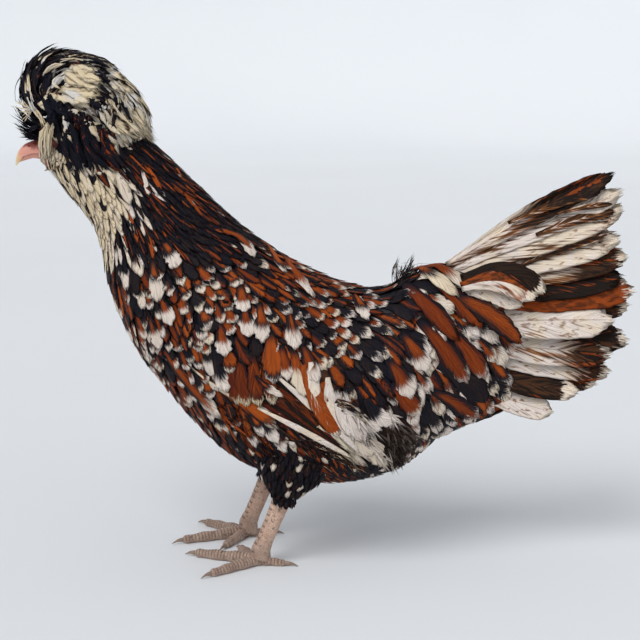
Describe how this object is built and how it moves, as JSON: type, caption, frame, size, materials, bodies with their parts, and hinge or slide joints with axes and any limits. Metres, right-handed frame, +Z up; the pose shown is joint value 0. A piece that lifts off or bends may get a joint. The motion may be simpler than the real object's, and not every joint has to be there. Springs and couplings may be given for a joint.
{
  "type": "crested hen",
  "caption": "Life-size still model of a spangled Polish crested hen, standing in profile with a globular feather crest and a fanned tail.",
  "frame": {"origin": "on the floor, at the middle of the model's box seen from above", "axes": "+Z up, -X towards the bill, +X towards the tail, -Y towards the hen's left side"},
  "size_m": [0.4879, 0.1558, 0.4063],
  "materials": {
    "flesh_plumage": "feathered",
    "fluff_plumage": "feathered",
    "crest_feathers": "feathered",
    "wing_feathers": "feathered",
    "tail_feathers": "feathered",
    "face_skin": "bare skin",
    "comb_skin": "bare skin",
    "ear_lobe": "bare skin",
    "bill": "smooth horn",
    "eye": "wet gloss",
    "shank_scales": "scaled skin",
    "claw": "smooth horn"
  },
  "bodies": {
    "root": {"head": "face_skin", "crest": "crest_feathers", "comb": "comb_skin", "bill_upper": "bill", "bill_lower": "bill", "eye_l": "eye", "eye_r": "eye", "ear_l": "ear_lobe", "ear_r": "ear_lobe", "wattle_l": "comb_skin", "wattle_r": "comb_skin", "neck": "flesh_plumage", "torso": "flesh_plumage", "wing_l": "wing_feathers", "wing_r": "wing_feathers", "rump": "fluff_plumage", "tail": "tail_feathers", "thigh_l": "flesh_plumage", "thigh_r": "flesh_plumage", "foot_l": "shank_scales", "foot_r": "shank_scales", "claw_outer_l": "claw", "claw_middle_l": "claw", "claw_inner_l": "claw", "claw_hind_l": "claw", "claw_outer_r": "claw", "claw_middle_r": "claw", "claw_inner_r": "claw", "claw_hind_r": "claw"}
  },
  "joints": []
}
